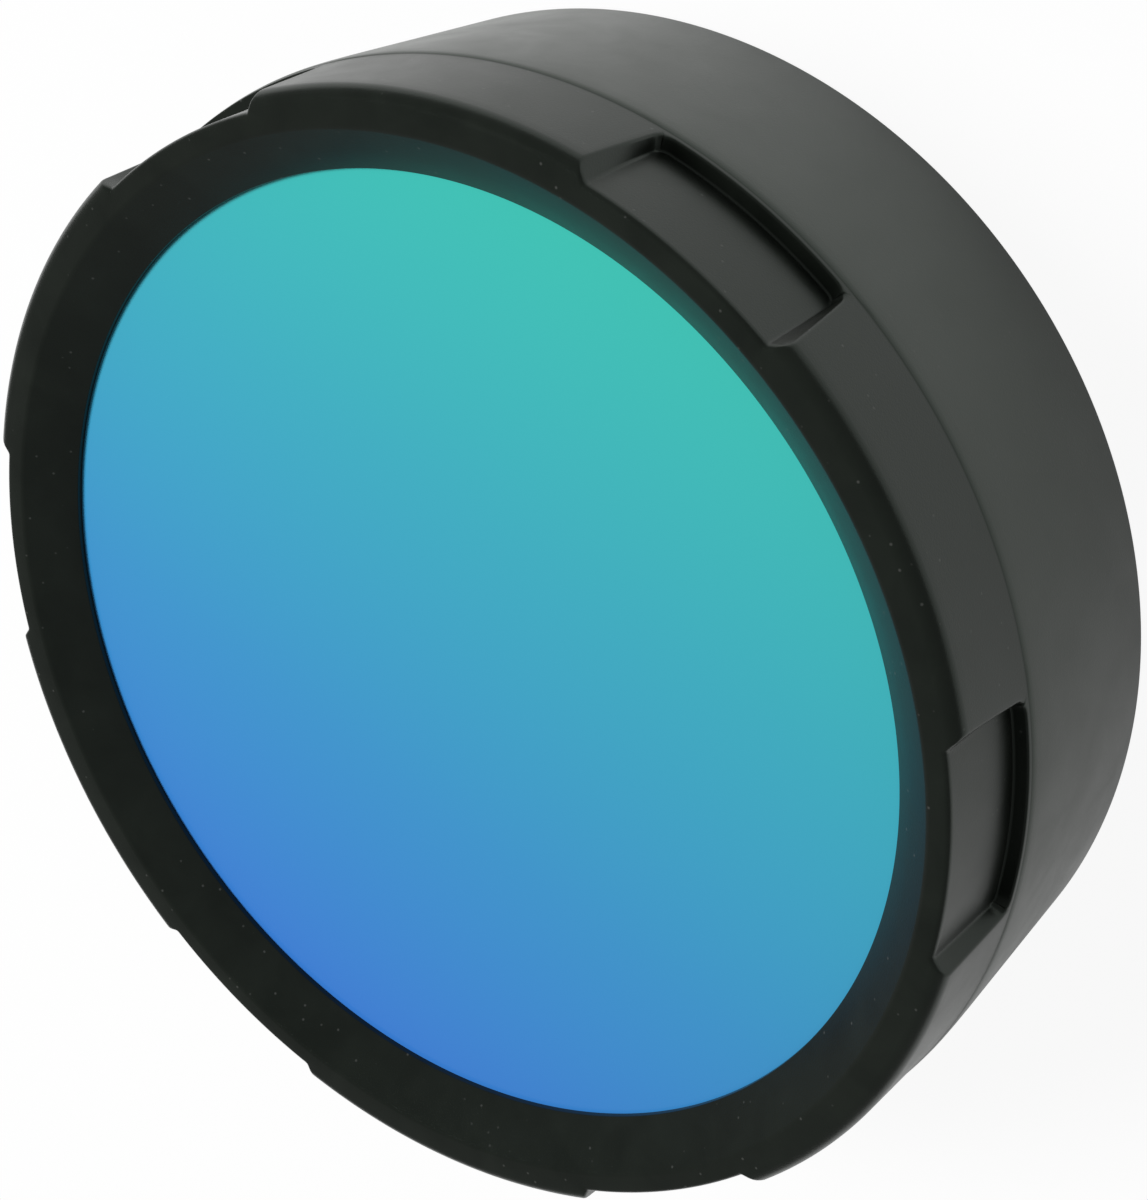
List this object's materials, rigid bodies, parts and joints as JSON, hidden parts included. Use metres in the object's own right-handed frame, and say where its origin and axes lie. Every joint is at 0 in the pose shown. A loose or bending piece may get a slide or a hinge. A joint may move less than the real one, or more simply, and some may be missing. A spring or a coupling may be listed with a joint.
{
  "type": "flashlight filter",
  "caption": "Slip-on colour filter for a flashlight head: a moulded rubber sleeve with pockets round its lip holds a tinted glass disc behind a conical bezel.",
  "frame": {"origin": "centre of the sleeve's flat rear rim, on the surface that the filter stands on", "axes": "+Z along the optical axis, out of the front of the filter; +X through the middle of one pocket"},
  "size_m": [0.0682, 0.0682, 0.0222],
  "materials": {
    "sleeve_rubber": "matte moulded",
    "tinted_glass": "polished, blue to teal coating",
    "ring_plastic": "fine matte"
  },
  "bodies": {
    "root": {"sleeve": "sleeve_rubber", "filter_glass": "tinted_glass", "stop_ring": "ring_plastic"}
  },
  "joints": []
}
